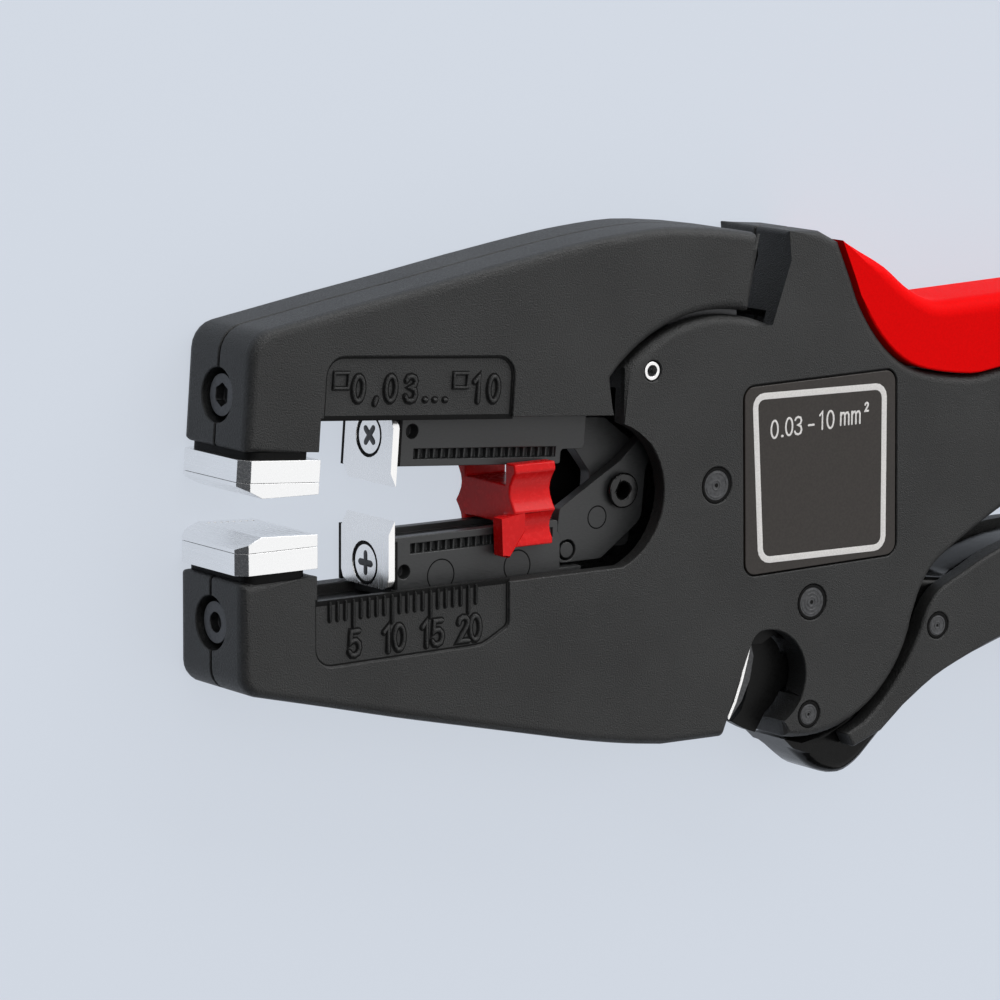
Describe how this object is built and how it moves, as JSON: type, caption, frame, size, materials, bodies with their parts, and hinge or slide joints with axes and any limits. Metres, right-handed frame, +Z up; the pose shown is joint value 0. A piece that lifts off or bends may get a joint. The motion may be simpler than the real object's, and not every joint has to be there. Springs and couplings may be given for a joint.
{
  "type": "automatic wire stripper",
  "caption": "Hand tool that grips a wire between two jaws, cuts its insulation with sliding blades and pulls it off when the handles are squeezed.",
  "frame": {"origin": "on the far side face of the housing, behind the middle of the label plate", "axes": "the tool lies on its far side face: +X along the tool from the mouth to the handles, +Y from the fixed lower jaw to the upper jaw, +Z up through the thickness to the side with the label plate"},
  "size_m": [0.1949, 0.081, 0.0125],
  "materials": {
    "black_plastic": "fine matte texture",
    "grey_plastic": "satin, glass-filled",
    "black_lever": "gloss",
    "red_soft": "soft satin",
    "red_stop": "satin gloss",
    "aluminium": "fine machined",
    "steel": "ground",
    "dark_steel": "blackened",
    "label": "satin print"
  },
  "bodies": {
    "housing": {"housing_near": "black_plastic", "housing_far": "black_plastic", "lower_grip_plate": "aluminium", "lower_front_screw": "dark_steel", "label_plate": "label", "handle_inlay": "red_soft", "jaw_pivot_pin": "dark_steel", "lever_pivot_pin": "dark_steel", "housing_rivet": "dark_steel", "handle_rivet_1": "dark_steel", "handle_rivet_2": "dark_steel", "spring_pin": "steel", "fixed_cutter_blade": "dark_steel", "jaw_spring": "steel", "lever_spring": "steel"},
    "upper_jaw": {"upper_jaw_near": "black_plastic", "upper_jaw_far": "black_plastic", "upper_grip_plate": "aluminium", "upper_front_screw": "dark_steel", "jaw_tongue_far": "dark_steel", "jaw_tongue_near": "dark_steel"},
    "lower_slide": {"lower_carrier": "grey_plastic", "lower_blade": "steel", "lower_blade_screw": "steel", "pull_plate": "grey_plastic", "pull_pin": "dark_steel"},
    "upper_slide": {"upper_carrier": "grey_plastic", "upper_blade": "steel", "upper_blade_screw": "steel", "upper_pull_arm": "grey_plastic"},
    "stop": {"length_stop": "red_stop"},
    "swing": {"swing_arm": "steel"},
    "lever": {"lever_core": "black_lever", "lever_arm": "steel", "lever_cheek_near": "black_plastic", "lever_cheek_far": "black_plastic", "lever_inlay": "red_soft", "lever_rivet_1": "dark_steel", "lever_rivet_2": "dark_steel", "lever_rivet_3": "dark_steel", "moving_cutter_blade": "steel"}
  },
  "joints": [
    {"name": "lever_turn", "type": "hinge", "parent": "housing", "child": "lever", "pos_m": [-0.001, -0.015, 0.00625], "axis": [0, 0, 1], "range_deg": [-20, 8], "stiffness_Nm_per_rad": 0.35, "springref_deg": -20, "deforming": ["lever_spring"]},
    {"name": "jaw_turn", "type": "hinge", "parent": "housing", "child": "upper_jaw", "pos_m": [-0.015, -0.0003, 0.00625], "axis": [0, 0, 1], "range_deg": [-7.4, 3.4], "stiffness_Nm_per_rad": 0.3, "springref_deg": -7.4, "deforming": ["jaw_spring"]},
    {"name": "lower_pull", "type": "slide", "parent": "housing", "child": "lower_slide", "axis": [1, 0, 0], "range_m": [-0.00941, 0.00377]},
    {"name": "upper_pull", "type": "slide", "parent": "upper_jaw", "child": "upper_slide", "axis": [0.9974, -0.0715, 0], "range_m": [-0.00941, 0.00377]},
    {"name": "swing_turn", "type": "hinge", "parent": "housing", "child": "swing", "pos_m": [-0.015, -0.0003, 0.00625], "axis": [0, 0, 1], "range_deg": [-16, 40]},
    {"name": "stop_slide", "type": "slide", "parent": "lower_slide", "child": "stop", "axis": [1, 0, 0], "range_m": [-0.012, 0.001]}
  ],
  "couplings": [
    {"joint": "lower_pull", "follows": "lever_turn", "m_per_rad": 0.026929},
    {"joint": "upper_pull", "follows": "lever_turn", "m_per_rad": 0.026929},
    {"joint": "swing_turn", "follows": "lever_turn", "ratio": -1.983}
  ]
}
